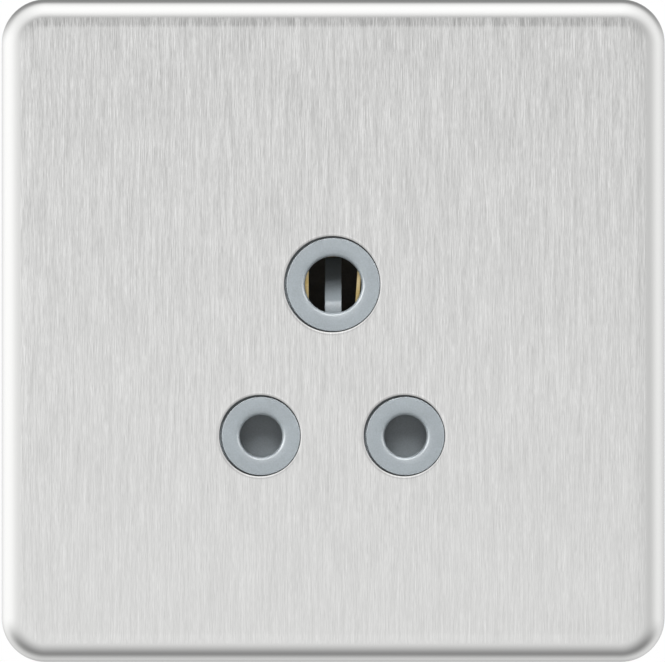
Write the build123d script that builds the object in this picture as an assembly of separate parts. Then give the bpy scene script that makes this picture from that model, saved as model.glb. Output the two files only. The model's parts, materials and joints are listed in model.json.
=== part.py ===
from build123d import *
import math
import os

os.makedirs("parts", exist_ok=True)

# Wall socket for plugs with three round pins, in millimetres.
# It is drawn facing the reader: X to the right, Y up, Z out of the wall, with the wall plane at Z = 0
# and the origin midway between the two fixing screws. It is stood upright when it is written.

# Pin layout
PIN_SPACING = 19.05
EARTH_Y = 6.06
LINE_Y = -13.91
EARTH_PIN_R = 3.53
EARTH_HOLE_R = 3.75
LINE_HOLE_R = 2.8
EARTH_COLLAR_R = 6.14
LINE_COLLAR_R = 5.16
LIP_R = 0.65
COLLAR_GAP = 0.22
EDGE_BREAK = 0.2

# Pressed cover
PLATE = 87.7
PLATE_CORNER_R = 5.9
PLATE_EDGE_R = 2.2
SHEET = 1.0
FRONT_Z = 4.6
SKIRT_Z = 0.3
COLLAR_PROUD = 0.05
COVER_SHIFT_X = -0.1
COVER_SHIFT_Y = 0.06
CLIP_X = 22.0
CLIP_WIDTH = 7.0
TAB_DEPTH = 0.5
TAB_THICK = 0.5
PRY_WIDTH = 9.0
PRY_HEIGHT = 1.0

# Moulded frame
FRAME_GAP = 0.6
FRAME_FLOOR = 1.6
FRAME_WALL = 1.6
FIXING_CENTRES = 60.3
FIXING_HOLE_R = 2.2
FIXING_HEAD_R = 4.2
FIXING_BOSS_R = 5.6
FIXING_SEAT = 1.6
NIB_DEPTH = 0.4
NIB_HEIGHT = 0.8
RIB = 1.2

# Front moulding and rear body
BODY = 48.0
BODY_CORNER_R = 2.5
BODY_Y = -3.9
BODY_BACK_Z = -15.5
SLAB_WIDTH = 49.0
SLAB_HEIGHT = 54.0
SLAB_BACK_Z = 2.0
SLAB_FRONT_Z = 3.4
SEAT_GAP = 0.2
LEDGE_BACK_Z = 0.6
FLANGE_WIDTH = 44.0
FLANGE_HEIGHT = 53.0
FLANGE_BACK_Z = -1.0
HUMP_HALF = 8.5
HUMP_BACK_Z = -20.5
HUMP_BOTTOM_Y = -1.0
CORE_DEPTH = 13.0
CORE_CORNER_R = 1.5
RIM_HEIGHT = 0.8

# Shutter and its spring
SHUTTER_FRONT_Z = -0.85
SHUTTER_THICK = 1.5
SHUTTER_TRAVEL = 7.2
SLIDE_GAP = 0.2
PLATE_HALF = 3.75
PLATE_CAP_R = 1.2
TONGUE_HALF = 2.4
CAM_HALF = 1.1
CAM_NOSE_Z = 1.7
CAM_NOSE_RISE = 1.2
CAM_NOSE_R = 2.2
CAM_ANGLE = 46.0
BAR_BOTTOM_Y = -14.0
SPRING_R = 1.5
SPRING_WIRE_R = 0.2
SPRING_TURNS = 6
SPRING_LENGTH = 11.6

# Contacts and terminals
LEAF = 0.5
EARTH_LEAF_HALF = 3.4
LINE_LEAF_HALF = 2.5
EARTH_LEAF_LEAN = 4.0
EARTH_GRIP_R = 3.2
TERMINAL = 7.4
TERMINAL_HEIGHT = 8.0
WIRE_HOLE_R = 2.1
WIRE_WINDOW_HALF = 3.0
TERMINAL_SCREW_R = 1.7
THREAD_PLAY = 0.05
TERMINAL_HEAD_R = 2.6
HEAD_HEIGHT = 2.0
SCREW_SLOT = 0.7
LINE_TERMINAL_X = 18.7
EARTH_TERMINAL_Y = 15.2
FORK_HALF = 1.9
LINE_WEB_Z = -11.4
EARTH_WEB_Z = -16.1

# Body screws
BODY_SCREW_X = 19.6
BODY_SCREW_Y = 19.6
BOSS_R = 3.0
BOSS_END_Z = -4.8
PILOT_R = 1.25
BODY_SCREW_HEAD_Z = -9.0

# Earth strap
STRAP_WIDTH = 5.0
STRAP_THICK = 0.4

LINE_X = PIN_SPACING / 2
COLLAR_FACE_Z = FRONT_Z + COLLAR_PROUD
SHUTTER_BACK_Z = SHUTTER_FRONT_Z - SHUTTER_THICK
BAY_FLOOR_Z = SHUTTER_BACK_Z - SLIDE_GAP
BAY_HALF = LINE_X + PLATE_HALF + SLIDE_GAP
BAY_BOTTOM_Y = BAR_BOTTOM_Y - SPRING_LENGTH
PLATE_TOP_Y = LINE_Y + PLATE_HALF
BODY_TOP_Y = BODY_Y + BODY / 2
SPRING_Z = (SHUTTER_FRONT_Z + SHUTTER_BACK_Z) / 2
EARTH_CHAMBER_HALF = EARTH_HOLE_R + LEAF
LINE_CHAMBER_HALF = LINE_HOLE_R + 2 * LEAF
CAM_TOP_Y = EARTH_Y - EARTH_PIN_R + SHUTTER_TRAVEL
CAM_NOSE_Y = EARTH_Y - EARTH_HOLE_R + CAM_NOSE_RISE
CAM_END_Z = CAM_NOSE_Z - (CAM_TOP_Y - CAM_NOSE_Y) * math.tan(math.radians(CAM_ANGLE))
COLLARS = [
    (0, EARTH_Y, EARTH_HOLE_R, EARTH_COLLAR_R),
    (LINE_X, LINE_Y, LINE_HOLE_R, LINE_COLLAR_R),
    (-LINE_X, LINE_Y, LINE_HOLE_R, LINE_COLLAR_R),
]


def block(x, y, z):
    """A block between three pairs of limits."""
    centre = Pos((x[0] + x[1]) / 2, (y[0] + y[1]) / 2, (z[0] + z[1]) / 2)
    return centre * Box(x[1] - x[0], y[1] - y[0], z[1] - z[0])


def about(middle, half):
    """The limits of a span about its middle."""
    return (middle - half, middle + half)


def slab(width, height, corner_r, y, z):
    """A slab with rounded corners, centred across the socket."""
    return Pos(0, y, z[0]) * extrude(RectangleRounded(width, height, corner_r), z[1] - z[0])


def rod(x, y, radius, z):
    """A round rod that runs out of the wall."""
    return Pos(x, y, z[0]) * extrude(Circle(radius), z[1] - z[0])


def front_edges(solid):
    """The edges of a solid's foremost face."""
    return solid.faces().sort_by(Axis.Z)[-1].edges()


def back_edges(solid):
    """The outer edges of a solid's rearmost face."""
    return solid.faces().sort_by(Axis.Z)[0].outer_wire().edges()


def strip(path, thick, half_width, plane):
    """A sheet metal strip: a line in the plane, given its thickness and its width."""
    return extrude(plane * trace(path, thick), half_width, both=True)


def lipped_hole(x, y, radius, back_z):
    """The cutter of a pin hole whose mouth is rounded."""
    lip_z = COLLAR_FACE_Z - LIP_R
    mouth_z = COLLAR_FACE_Z + LIP_R
    mouth_r = radius + LIP_R
    wall = Polyline((0, mouth_z), (0, back_z), (radius, back_z), (radius, lip_z))
    lip = RadiusArc((radius, lip_z), (mouth_r, COLLAR_FACE_Z), LIP_R)
    top = Polyline((mouth_r, COLLAR_FACE_Z), (mouth_r, mouth_z), (0, mouth_z))
    profile = Plane.XZ * make_face(wall + lip + top)
    return Pos(x, y, 0) * revolve(profile, Axis.Z)


def make_cover_plate():
    outer = slab(PLATE, PLATE, PLATE_CORNER_R, 0, (SKIRT_Z, FRONT_Z))
    outer = fillet(front_edges(outer), PLATE_EDGE_R)
    inside = PLATE - 2 * SHEET
    hollow = slab(inside, inside, PLATE_CORNER_R - SHEET, 0, (SKIRT_Z, FRONT_Z - SHEET))
    hollow = fillet(front_edges(hollow), PLATE_EDGE_R - SHEET)
    cover = outer - hollow
    for x, y, _, collar_r in COLLARS:
        hole_x = x + COVER_SHIFT_X
        hole_y = y + COVER_SHIFT_Y
        hole_r = collar_r + COLLAR_GAP
        cover -= rod(hole_x, hole_y, hole_r, (FRONT_Z - 2 * SHEET, FRONT_Z))
        edge = Cone(hole_r, hole_r + EDGE_BREAK, EDGE_BREAK)
        cover -= Pos(hole_x, hole_y, FRONT_Z - EDGE_BREAK / 2) * edge
    for side in (1, -1):
        for x in about(0, CLIP_X):
            edge = sorted((side * (inside / 2 - TAB_DEPTH), side * (inside / 2 + SHEET / 2)))
            cover += block(about(x, CLIP_WIDTH / 2), edge, (SKIRT_Z, SKIRT_Z + TAB_THICK))
    pry_slot = block(about(0, PRY_WIDTH / 2), (-PLATE / 2, -inside / 2), (SKIRT_Z, SKIRT_Z + PRY_HEIGHT))
    return cover - pry_slot


def make_base_frame():
    side = PLATE - 2 * (SHEET + FRAME_GAP)
    corner_r = PLATE_CORNER_R - SHEET - FRAME_GAP
    top_z = FRONT_Z - SHEET
    web_z = top_z - FRAME_FLOOR
    frame = slab(side, side, corner_r, 0, (0, top_z))
    frame = chamfer(front_edges(frame), SHEET)
    inside = side - 2 * FRAME_WALL
    frame -= slab(inside, inside, corner_r - FRAME_WALL, 0, (0, web_z))

    rib_z = (LEDGE_BACK_Z, web_z)
    for place in (CLIP_X, 0, -CLIP_X):
        frame += block(about(place, RIB / 2), about(0, inside / 2), rib_z)
        frame += block(about(0, inside / 2), about(place, RIB / 2), rib_z)
    pocket_width = SLAB_WIDTH + 2 * SEAT_GAP
    pocket_height = SLAB_HEIGHT + 2 * SEAT_GAP
    rim_z = (LEDGE_BACK_Z, top_z)
    frame += slab(pocket_width + 2 * RIB, pocket_height + 2 * RIB, BODY_CORNER_R, BODY_Y, rim_z)
    for x in about(0, FIXING_CENTRES / 2):
        frame += rod(x, 0, FIXING_BOSS_R, (0, top_z))
    frame -= slab(pocket_width, pocket_height, BODY_CORNER_R - RIB, BODY_Y, (SLAB_BACK_Z, top_z))
    window = BODY + 2 * SEAT_GAP
    frame -= slab(window, window, BODY_CORNER_R + SEAT_GAP, BODY_Y, (0, top_z))
    for x in about(0, FIXING_CENTRES / 2):
        frame -= rod(x, 0, FIXING_HEAD_R, (FIXING_SEAT, top_z))
        frame -= rod(x, 0, FIXING_HOLE_R, (0, FIXING_SEAT))

    nib_z = (SKIRT_Z + 2 * TAB_THICK, SKIRT_Z + 2 * TAB_THICK + NIB_HEIGHT)
    for sign in (1, -1):
        nib_y = sorted((sign * (side / 2 - NIB_DEPTH), sign * (side / 2 + NIB_DEPTH)))
        wall_y = sorted((sign * inside / 2, sign * side / 2))
        for x in about(0, CLIP_X):
            frame += block(about(x, CLIP_WIDTH / 2), nib_y, nib_z)
            for slot_x in about(x, CLIP_WIDTH / 2 + RIB):
                frame -= block(about(slot_x, RIB / 2), wall_y, (0, web_z))
    return frame


def make_socket_front():
    front = slab(SLAB_WIDTH, SLAB_HEIGHT, BODY_CORNER_R - RIB, BODY_Y, (SLAB_BACK_Z, SLAB_FRONT_Z))
    for x, y, _, collar_r in COLLARS:
        collar = rod(x, y, collar_r, (SLAB_BACK_Z, COLLAR_FACE_Z))
        front += chamfer(front_edges(collar), EDGE_BREAK)
    guide_end_z = SHUTTER_FRONT_Z + SLIDE_GAP
    for x in about(0, LINE_X):
        front += rod(x, LINE_Y, LINE_HOLE_R + SHEET, (guide_end_z, SLAB_FRONT_Z))
    for x in about(0, BODY_SCREW_X):
        for y in about(BODY_Y, BODY_SCREW_Y):
            front += rod(x, y, BOSS_R, (BOSS_END_Z, SLAB_FRONT_Z))
            front -= rod(x, y, PILOT_R, (BOSS_END_Z, SLAB_BACK_Z))
    line_post_z = LINE_WEB_Z + TERMINAL_HEIGHT + SLIDE_GAP
    for x in about(0, LINE_TERMINAL_X):
        front += block(about(x, BOSS_R / 2), about(LINE_Y, BOSS_R), (line_post_z, SLAB_FRONT_Z))
    earth_post_z = EARTH_WEB_Z + TERMINAL_HEIGHT + STRAP_THICK + SLIDE_GAP
    front += block(about(0, BOSS_R), about(EARTH_TERMINAL_Y - RIB, RIB), (earth_post_z, SLAB_FRONT_Z))
    notch_y = (strap_riser_y() - 2 * STRAP_THICK, BODY_Y + SLAB_HEIGHT / 2)
    front -= block(about(0, STRAP_WIDTH / 2 + STRAP_THICK), notch_y, (SLAB_BACK_Z, SLAB_FRONT_Z))
    front -= lipped_hole(0, EARTH_Y, EARTH_HOLE_R, SLAB_BACK_Z)
    for x in about(0, LINE_X):
        front -= lipped_hole(x, LINE_Y, LINE_HOLE_R, guide_end_z)
    return front


def make_shutter():
    plate_z = (SHUTTER_BACK_Z, SHUTTER_FRONT_Z)
    bar = block(about(0, LINE_X), (BAR_BOTTOM_Y, PLATE_TOP_Y), plate_z)
    tongue = block(about(0, TONGUE_HALF), (BAR_BOTTOM_Y, EARTH_Y - EARTH_CHAMBER_HALF), plate_z)
    shutter = bar + tongue
    for x in about(0, LINE_X):
        cap = RectangleRounded(2 * PLATE_HALF, 2 * PLATE_HALF, PLATE_CAP_R)
        shutter += Pos(x, LINE_Y, SHUTTER_BACK_Z) * extrude(cap, SHUTTER_THICK)
    cam_foot_y = CAM_NOSE_Y - 2 * TONGUE_HALF
    outline = Polyline(
        (cam_foot_y - TONGUE_HALF, SHUTTER_BACK_Z),
        (cam_foot_y - TONGUE_HALF, SHUTTER_FRONT_Z),
        (cam_foot_y, CAM_NOSE_Z),
        (CAM_NOSE_Y, CAM_NOSE_Z),
        (CAM_TOP_Y, CAM_END_Z),
        (CAM_TOP_Y, CAM_END_Z - CAM_HALF),
        (EARTH_Y - CAM_HALF, SHUTTER_BACK_Z),
        close=True,
    )
    face = make_face(outline)
    nose = face.vertices().sort_by_distance(Vertex(CAM_NOSE_Y, CAM_NOSE_Z))[0]
    foot = face.vertices().sort_by_distance(Vertex(cam_foot_y, CAM_NOSE_Z))[0]
    face = fillet([nose, foot], CAM_NOSE_R)
    shutter += extrude(Plane.YZ * face, CAM_HALF, both=True)
    peg_r = SPRING_R - 2 * SPRING_WIRE_R
    peg = Cylinder(peg_r, TONGUE_HALF, align=(Align.CENTER, Align.CENTER, Align.MIN))
    return shutter + Pos(0, BAR_BOTTOM_Y, SPRING_Z) * Rot(90, 0, 0) * peg


def make_shutter_spring():
    run = SPRING_LENGTH - 2 * SPRING_WIRE_R
    path = Helix(run / SPRING_TURNS, run, SPRING_R)
    section = RegularPolygon(SPRING_WIRE_R, 6)
    wire = sweep(Plane(path @ 0, z_dir=path % 0) * section, path)
    return Pos(0, BAR_BOTTOM_Y - SPRING_WIRE_R, SPRING_Z) * Rot(90, 0, 0) * wire


def leaf_line(grip, mouth, front_z, back_z):
    """A bowed spring leaf beside the pin, from its mouth through its grip to its root, as a line."""
    return ThreePointArc((mouth, front_z), (grip, (front_z + back_z) / 2), (mouth, back_z))


def make_line_contact(side):
    """Two leaves joined behind the pin by a web, which runs on to the terminal."""
    mouth = LINE_HOLE_R + LEAF / 2
    root_z = LINE_WEB_Z + LEAF
    web_middle_z = LINE_WEB_Z - LEAF / 2
    line = leaf_line(LINE_HOLE_R - LEAF / 2, mouth, BAY_FLOOR_Z - SLIDE_GAP, root_z)
    line += Polyline((mouth, root_z), (mouth, web_middle_z), (0, web_middle_z))
    leaf = Pos(LINE_X, LINE_Y, 0) * strip(line, LEAF, LINE_LEAF_HALF, Plane.XZ)
    contact = leaf + mirror(leaf, Plane.YZ.offset(LINE_X))
    tail_end = LINE_TERMINAL_X + TERMINAL / 2
    web_z = (LINE_WEB_Z - LEAF, LINE_WEB_Z)
    contact += block((LINE_X, tail_end), about(LINE_Y, LINE_LEAF_HALF), web_z)
    contact -= block((LINE_TERMINAL_X - FORK_HALF, tail_end), about(LINE_Y, FORK_HALF), web_z)
    return contact if side > 0 else mirror(contact, Plane.YZ)


def make_earth_contact():
    """Two leaves joined above the pin by a bridge, open below. One leaf leans in, as a bent one does."""
    mouth = EARTH_HOLE_R - LEAF / 2
    bridge = EARTH_HOLE_R + LEAF / 2
    line = leaf_line(EARTH_GRIP_R + LEAF / 2, mouth, SLAB_BACK_Z - 2 * LEAF, EARTH_WEB_Z)
    leaf = strip(line, LEAF, (bridge + EARTH_LEAF_HALF) / 2, Plane.XZ)
    leaf = Pos(0, (bridge - EARTH_LEAF_HALF) / 2, 0) * leaf
    hinge = Pos(mouth + LEAF / 4, bridge, 0) * Rot(0, 0, -EARTH_LEAF_LEAN) * Pos(-mouth, -bridge, 0)
    contact = Pos(0, EARTH_Y, 0) * (hinge * leaf + mirror(leaf, Plane.YZ))
    bridge_y = EARTH_Y + bridge
    bridge_front_z = CAM_END_Z - 2 * CAM_HALF
    web_middle_z = EARTH_WEB_Z - LEAF / 2
    tail_end = EARTH_TERMINAL_Y + TERMINAL / 2
    bend = [(bridge_y, bridge_front_z), (bridge_y, web_middle_z), (tail_end, web_middle_z)]
    contact += strip(FilletPolyline(*bend, radius=LEAF), LEAF, EARTH_LEAF_HALF, Plane.YZ)
    bridge_z = (EARTH_WEB_Z + LEAF, bridge_front_z)
    contact += block(about(0, bridge), about(bridge_y, LEAF / 2), bridge_z)
    web_z = (EARTH_WEB_Z - LEAF, EARTH_WEB_Z)
    return contact - block(about(0, FORK_HALF), (EARTH_TERMINAL_Y - FORK_HALF, tail_end), web_z)


def make_terminal(web_z):
    """A drilled block on the web of its contact. The wire hole runs along X, the screw hole along Z."""
    terminal = Box(TERMINAL, TERMINAL, TERMINAL_HEIGHT)
    terminal = chamfer(terminal.edges().filter_by(Axis.Z), LEAF)
    terminal -= Rot(0, 90, 0) * Cylinder(WIRE_HOLE_R, TERMINAL)
    terminal -= rod(0, 0, TERMINAL_SCREW_R + THREAD_PLAY, (-TERMINAL_HEIGHT / 2, 0))
    return Pos(0, 0, web_z + TERMINAL_HEIGHT / 2) * terminal


def make_terminal_screw(web_z):
    """A slotted screw that enters the terminal from behind, backed out of the wire hole."""
    tip_z = web_z + TERMINAL_HEIGHT / 2 - WIRE_HOLE_R
    under_head_z = web_z - 2 * LEAF
    back_z = under_head_z - HEAD_HEIGHT
    head = rod(0, 0, TERMINAL_HEAD_R, (back_z, under_head_z))
    head = chamfer(back_edges(head), EDGE_BREAK)
    slot = block(about(0, TERMINAL_HEAD_R), about(0, SCREW_SLOT / 2), (back_z, back_z + HEAD_HEIGHT / 2))
    return head - slot + rod(0, 0, TERMINAL_SCREW_R, (under_head_z, tip_z))


def body_screw_places():
    """The four corners where the front and the rear body are screwed together."""
    return [(x, y) for x in about(0, BODY_SCREW_X) for y in about(BODY_Y, BODY_SCREW_Y)]


def make_body_screws():
    back_z = BODY_SCREW_HEAD_Z - HEAD_HEIGHT
    head = rod(0, 0, TERMINAL_HEAD_R, (back_z, BODY_SCREW_HEAD_Z))
    head = chamfer(back_edges(head), HEAD_HEIGHT / 4)
    cross_z = (back_z, back_z + HEAD_HEIGHT / 2)
    cross = block(about(0, PILOT_R), about(0, SCREW_SLOT / 2), cross_z)
    cross += block(about(0, SCREW_SLOT / 2), about(0, PILOT_R), cross_z)
    screw = head - cross + rod(0, 0, PILOT_R, (BODY_SCREW_HEAD_Z, SLAB_BACK_Z - SHEET))
    return Compound([Pos(x, y, 0) * screw for x, y in body_screw_places()])


def strap_riser_y():
    """Where the earth strap turns from the terminal towards the cover."""
    return EARTH_TERMINAL_Y + TERMINAL / 2 - STRAP_THICK


def make_earth_strap():
    foot_z = EARTH_WEB_Z + TERMINAL_HEIGHT + STRAP_THICK / 2
    riser_y = strap_riser_y()
    touch_z = FRONT_Z - SHEET - STRAP_THICK / 2
    spring_z = SLAB_BACK_Z + 2 * STRAP_THICK
    run = Polyline((EARTH_TERMINAL_Y - TERMINAL / 2, foot_z), (riser_y, foot_z), (riser_y, spring_z))
    bow_half = 1.5 * RIB
    bow_end = (riser_y + 2 * bow_half, spring_z)
    bow = ThreePointArc((riser_y, spring_z), (riser_y + bow_half, touch_z), bow_end)
    return strip(run + bow, STRAP_THICK, STRAP_WIDTH / 2, Plane.YZ)


def make_rear_body():
    body = slab(BODY, BODY, BODY_CORNER_R, BODY_Y, (BODY_BACK_Z, SLAB_BACK_Z))
    body = chamfer(back_edges(body), SHEET)
    body += slab(FLANGE_WIDTH, FLANGE_HEIGHT, BODY_CORNER_R, BODY_Y, (FLANGE_BACK_Z, LEDGE_BACK_Z))
    hump_y = (HUMP_BOTTOM_Y, BODY_TOP_Y)
    hump = block(about(0, HUMP_HALF), hump_y, (HUMP_BACK_Z, LINE_WEB_Z))
    body += chamfer(back_edges(hump), SHEET)
    access_r = TERMINAL_HEAD_R + SLIDE_GAP
    body += rod(0, EARTH_TERMINAL_Y, access_r + RIB, (HUMP_BACK_Z - RIM_HEIGHT, LINE_WEB_Z))
    for x in about(0, LINE_TERMINAL_X):
        body += rod(x, LINE_Y, access_r + RIB, (BODY_BACK_Z - RIM_HEIGHT, LINE_WEB_Z))

    plates_y = (BAY_BOTTOM_Y, PLATE_TOP_Y + SLIDE_GAP)
    body -= block(about(0, BAY_HALF), plates_y, (BAY_FLOOR_Z, SLAB_BACK_Z))
    tongue_y = (LINE_Y, EARTH_Y)
    body -= block(about(0, TONGUE_HALF + SLIDE_GAP), tongue_y, (BAY_FLOOR_Z, SLAB_BACK_Z))
    cam_y = (EARTH_Y - EARTH_CHAMBER_HALF - SHUTTER_TRAVEL - SLIDE_GAP, EARTH_Y)
    cam_floor_z = CAM_END_Z - CAM_HALF - SLIDE_GAP
    body -= block(about(0, CAM_HALF + SLIDE_GAP), cam_y, (cam_floor_z, SLAB_BACK_Z))
    spring_half = SPRING_R + 2 * SPRING_WIRE_R
    body -= block(about(0, spring_half), (BAY_BOTTOM_Y, BAR_BOTTOM_Y), (SPRING_Z - spring_half, SLAB_BACK_Z))

    pocket_half = TERMINAL / 2 + SLIDE_GAP
    earth_floor_z = EARTH_WEB_Z - LEAF
    earth_z = (earth_floor_z, SLAB_BACK_Z)
    earth_chamber_y = (EARTH_Y - EARTH_CHAMBER_HALF, EARTH_TERMINAL_Y - pocket_half)
    body -= block(about(0, EARTH_CHAMBER_HALF), earth_chamber_y, earth_z)
    body -= block(about(0, pocket_half), about(EARTH_TERMINAL_Y, pocket_half), earth_z)
    body -= rod(0, EARTH_TERMINAL_Y, access_r, (HUMP_BACK_Z - RIM_HEIGHT, earth_floor_z))
    earth_wire_z = about(EARTH_WEB_Z + TERMINAL_HEIGHT / 2, WIRE_WINDOW_HALF)
    body -= block(about(0, WIRE_WINDOW_HALF), (EARTH_TERMINAL_Y, BODY_TOP_Y), earth_wire_z)

    line_floor_z = LINE_WEB_Z - LEAF
    line_z = (line_floor_z, SLAB_BACK_Z)
    line_wire_z = about(LINE_WEB_Z + TERMINAL_HEIGHT / 2, WIRE_WINDOW_HALF)
    for side in (1, -1):
        pin_x = side * LINE_X
        terminal_x = side * LINE_TERMINAL_X
        chamber_y = about(LINE_Y, LINE_LEAF_HALF + LEAF)
        body -= block(about(pin_x, LINE_CHAMBER_HALF), chamber_y, line_z)
        body -= block(about(terminal_x, pocket_half), about(LINE_Y, pocket_half), line_z)
        gate_x = sorted((pin_x, terminal_x))
        body -= block(gate_x, about(LINE_Y, LINE_LEAF_HALF + SLIDE_GAP), line_z)
        body -= rod(terminal_x, LINE_Y, access_r, (BODY_BACK_Z - RIM_HEIGHT, line_floor_z))
        wire_x = sorted((terminal_x, side * BODY / 2))
        body -= block(wire_x, about(LINE_Y, WIRE_WINDOW_HALF), line_wire_z)

        core_x = (EARTH_CHAMBER_HALF + 2 * SHEET, BODY_SCREW_X - BOSS_R - 2 * SHEET)
        core_y = (PLATE_TOP_Y + 2 * SHEET, BODY_TOP_Y - 2 * SHEET)
        core = RectangleRounded(core_x[1] - core_x[0], core_y[1] - core_y[0], CORE_CORNER_R)
        core_place = Pos(side * sum(core_x) / 2, sum(core_y) / 2, SLAB_BACK_Z - CORE_DEPTH)
        body -= core_place * extrude(core, CORE_DEPTH)

    for x, y in body_screw_places():
        body -= rod(x, y, BOSS_R + SLIDE_GAP, (BOSS_END_Z - SLIDE_GAP, SLAB_BACK_Z))
        body -= rod(x, y, PILOT_R + SLIDE_GAP, (BODY_SCREW_HEAD_Z, SLAB_BACK_Z))
        body -= rod(x, y, access_r, (BODY_BACK_Z, BODY_SCREW_HEAD_Z))
    return body


line_terminal = Pos(LINE_TERMINAL_X, LINE_Y, 0) * make_terminal(LINE_WEB_Z)
line_screw = Pos(LINE_TERMINAL_X, LINE_Y, 0) * make_terminal_screw(LINE_WEB_Z)
earth_place = Pos(0, EARTH_TERMINAL_Y, 0)

NODES = {
    "cover_plate": make_cover_plate(),
    "base_frame": make_base_frame(),
    "socket_front": make_socket_front(),
    "rear_body": make_rear_body(),
    "shutter": make_shutter(),
    "shutter_spring": make_shutter_spring(),
    "earth_contact": make_earth_contact(),
    "live_contact": make_line_contact(1),
    "neutral_contact": make_line_contact(-1),
    "earth_terminal": earth_place * Rot(0, 0, 90) * make_terminal(EARTH_WEB_Z),
    "live_terminal": line_terminal,
    "neutral_terminal": mirror(line_terminal, Plane.YZ),
    "earth_terminal_screw": earth_place * make_terminal_screw(EARTH_WEB_Z),
    "live_terminal_screw": line_screw,
    "neutral_terminal_screw": mirror(line_screw, Plane.YZ),
    "body_screws": make_body_screws(),
    "earth_strap": make_earth_strap(),
}

# Stand the socket upright: its front faces -Y, up is +Z and the wall plane is Y = 0
STAND = Rot(90, 0, 0)
for name, solid in NODES.items():
    export_step(STAND * solid, f"parts/{name}.step")
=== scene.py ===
# %% [markdown]
# A wall socket for plugs with three round pins: a brushed metal cover with a pressed edge, grey
# collars round the pin holes, and a sprung shutter behind them. Every solid comes from the packed
# model, in metres. The front faces -Y, +Z is up, and the wall is the plane Y = 0.
# This script keeps each solid's place and form and gives it fine edges and a real finish.

# %% Load the solids
import bmesh
import bpy
import json
import math
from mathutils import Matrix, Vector


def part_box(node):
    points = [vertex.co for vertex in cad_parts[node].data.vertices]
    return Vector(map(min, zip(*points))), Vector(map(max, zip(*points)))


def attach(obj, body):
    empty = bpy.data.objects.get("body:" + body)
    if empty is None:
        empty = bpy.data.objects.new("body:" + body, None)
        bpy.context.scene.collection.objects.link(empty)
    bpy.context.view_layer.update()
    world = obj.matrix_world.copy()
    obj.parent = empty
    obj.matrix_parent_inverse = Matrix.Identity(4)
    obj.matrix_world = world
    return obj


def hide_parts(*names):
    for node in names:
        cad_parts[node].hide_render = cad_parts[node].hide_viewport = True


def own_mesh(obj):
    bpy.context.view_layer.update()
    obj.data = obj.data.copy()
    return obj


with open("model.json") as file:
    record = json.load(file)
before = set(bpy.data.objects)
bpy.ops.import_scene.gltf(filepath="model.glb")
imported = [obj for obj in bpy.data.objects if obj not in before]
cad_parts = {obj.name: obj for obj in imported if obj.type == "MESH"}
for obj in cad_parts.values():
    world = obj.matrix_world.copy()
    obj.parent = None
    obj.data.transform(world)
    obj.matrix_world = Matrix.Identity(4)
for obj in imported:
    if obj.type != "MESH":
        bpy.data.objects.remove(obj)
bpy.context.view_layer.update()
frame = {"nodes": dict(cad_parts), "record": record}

# %% [markdown]
# Real sizes are easier to think about in millimetres, to the right, up and out of the wall, so one
# function turns such a place into a point of the scene, and another gives a solid's limits in the
# same terms. The pin holes are interfaces of the model, so its record knows where they are. Only
# sizes that neither shows are written down.

# %% Sizes
MM = 0.001


def at(x, up, out):
    """A point of the scene, from millimetres to the right, up and out of the wall."""
    return Vector((x, -out, up)) * MM


def limits(node):
    """A solid's limits in millimetres: to the right, up and out of the wall, each low and high."""
    low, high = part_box(node)
    return (low.x / MM, high.x / MM), (low.z / MM, high.z / MM), (-high.y / MM, -low.y / MM)


def pin_hole(name, collar_r):
    """A pin hole: its place to the right and up, its radius and the radius of its collar."""
    bore = next(mount for mount in frame["record"]["mounts"] if mount["name"] == name)
    x, _, up = bore["pos_m"]
    return x / MM, up / MM, bore["dims"]["r_mm"], collar_r


EARTH_COLLAR, LINE_COLLAR = 6.14, 5.16
EARTH = pin_hole("earth_pin_hole", EARTH_COLLAR)
LIVE = pin_hole("live_pin_hole", LINE_COLLAR)
NEUTRAL = pin_hole("neutral_pin_hole", LINE_COLLAR)
PIN_HOLES = (EARTH, LIVE, NEUTRAL)
for x, up, hole_r, collar_r in PIN_HOLES:
    print(f"pin hole at {x:.2f}, {up:.2f} mm: radius {hole_r} in a collar of {collar_r}")

# %% [markdown]
# Colours are written as the hex values that a colour picker shows, which are made for screens.
# A shader wants linear light, so one function turns the first into the second.
# A second small function adds a node to any tree: settings are its properties and fixed inputs,
# links are the outputs that feed its other inputs, and stops are the colours of a ramp.

# %% Colour and node helpers
def colour(hex_value):
    """A screen colour such as #A8B0B4 as linear red, green, blue and alpha."""
    parts = [int(hex_value[i:i + 2], 16) / 255 for i in (1, 3, 5)]
    return [c / 12.92 if c <= 0.04045 else ((c + 0.055) / 1.055) ** 2.4 for c in parts] + [1.0]


def add(tree, kind, settings=None, links=None, stops=None):
    """Adds a node, sets its properties and fixed inputs, links its other inputs and fills its ramp."""
    node = tree.nodes.new(kind)
    for key, value in (settings or {}).items():
        if isinstance(key, int) or key in node.inputs:
            node.inputs[key].default_value = value
        else:
            setattr(node, key, value)
    for key, source in (links or {}).items():
        output = source if isinstance(source, bpy.types.NodeSocket) else source.outputs[0]
        tree.links.new(output, node.inputs[key])
    if stops:
        ramp = node.color_ramp.elements
        ramp[0].position = stops[0][0]
        ramp[1].position = stops[-1][0]
        for position, _ in stops[1:-1]:
            ramp.new(position)
        for element, (_, shade) in zip(ramp, stops):
            element.color = shade
    return node


def new_material(name):
    """An empty material and its node tree."""
    material = bpy.data.materials.new(name)
    material.use_nodes = True
    material.node_tree.nodes.clear()
    return material, material.node_tree


print("mid grey #808080 is", round(colour("#808080")[0], 3), "in linear light")

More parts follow.
